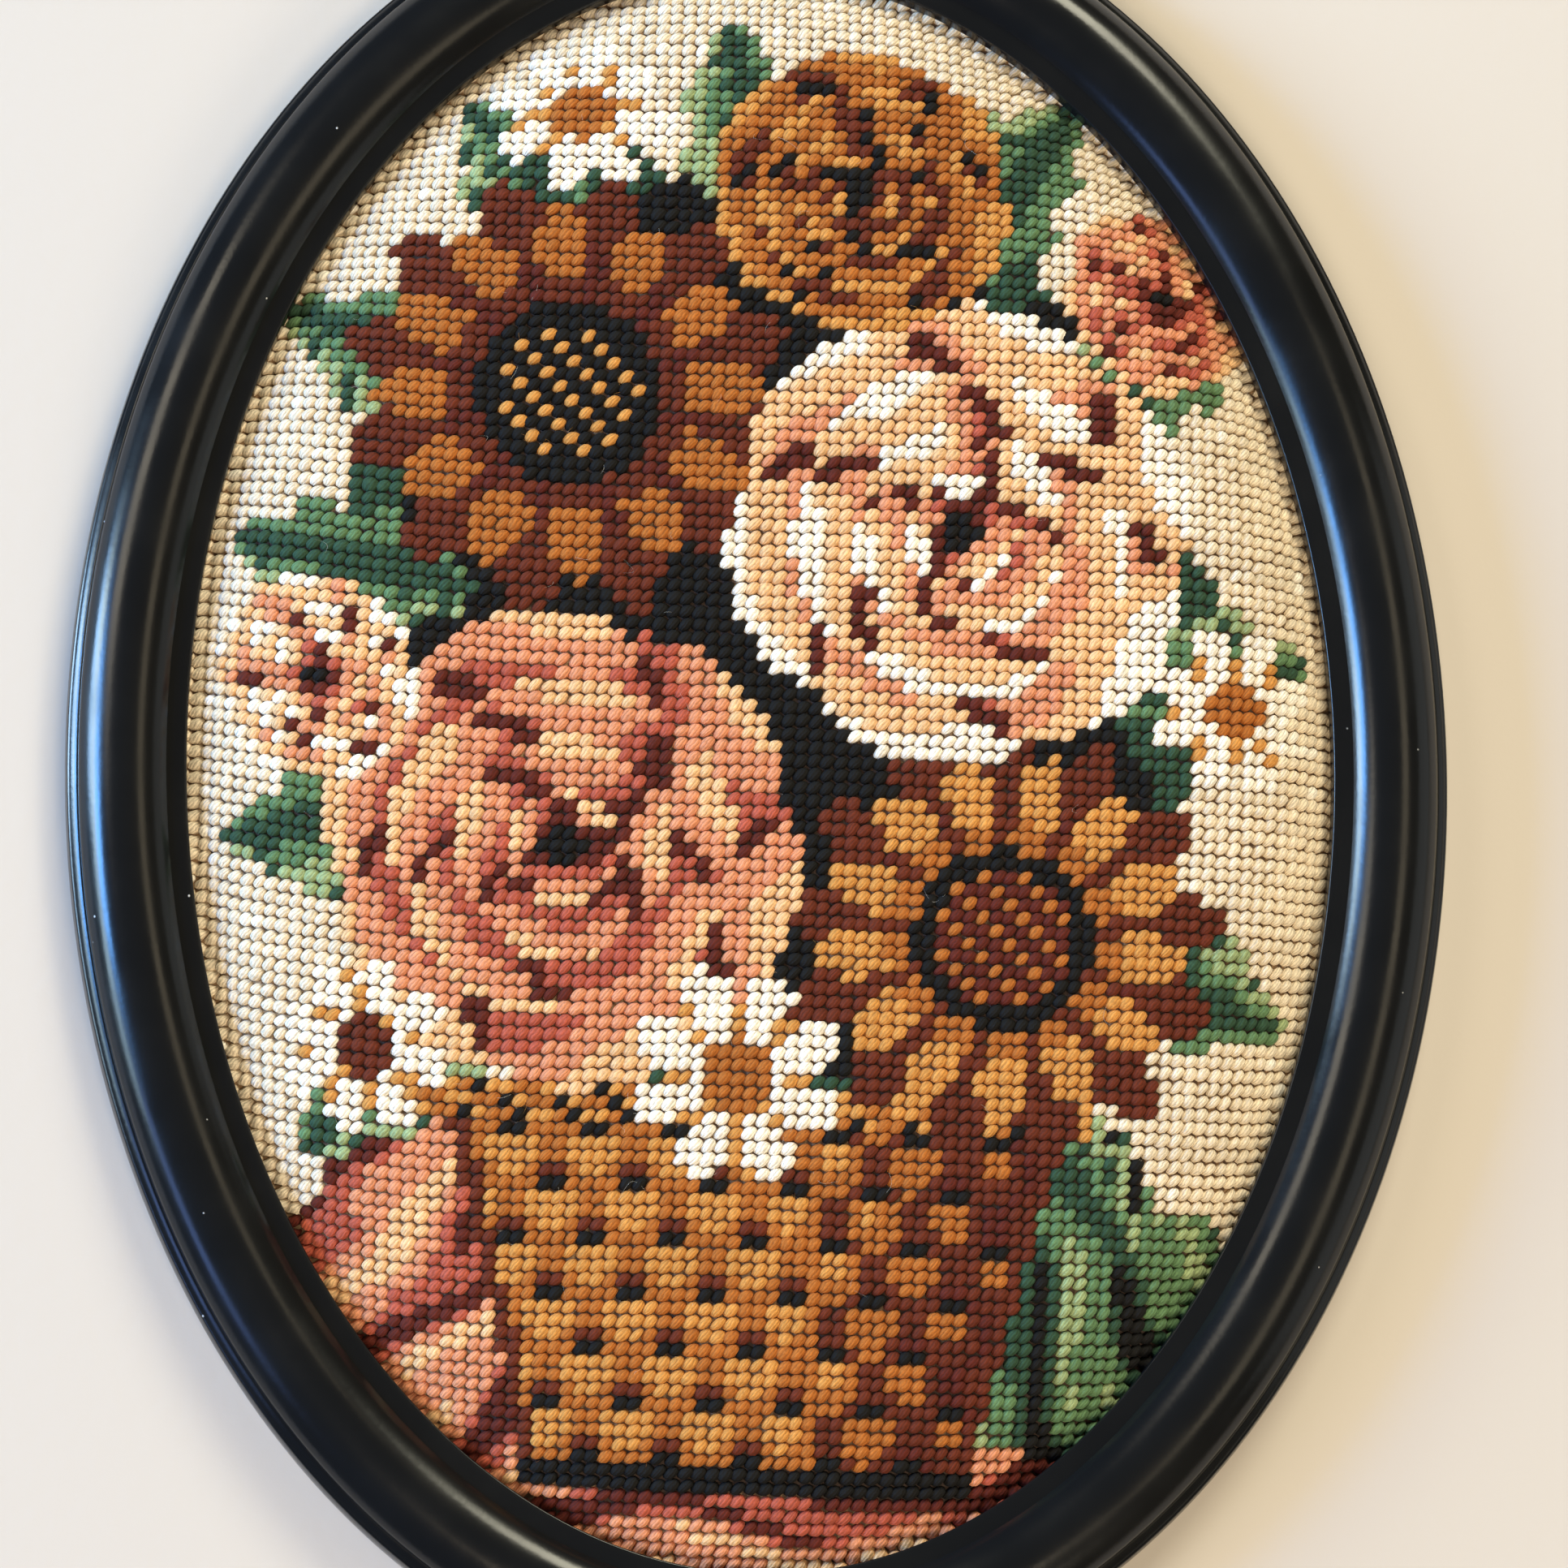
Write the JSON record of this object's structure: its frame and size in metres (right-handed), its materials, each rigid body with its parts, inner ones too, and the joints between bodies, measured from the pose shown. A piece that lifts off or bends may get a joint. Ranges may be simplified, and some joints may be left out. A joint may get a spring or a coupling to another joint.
{
  "type": "needlepoint canvas panel in an oval frame",
  "caption": "Worked needlepoint canvas stretched into a low dome in a plain oval moulding, closed by a flat board at the back.",
  "frame": {"origin": "centre of the back plane, on the surface the panel lies on", "axes": "+Z out of the worked face, +Y towards the top of the picture, +X towards its right side"},
  "size_m": [0.266, 0.358, 0.0198],
  "materials": {
    "black_moulding": "satin black paint with fine rubs and dust",
    "worked_canvas": "tent-stitched wool on cotton canvas",
    "backing_board": "matt pressed board"
  },
  "bodies": {
    "root": {"frame_moulding": "black_moulding", "needlepoint_canvas": "worked_canvas", "backing_board": "backing_board"}
  },
  "joints": []
}
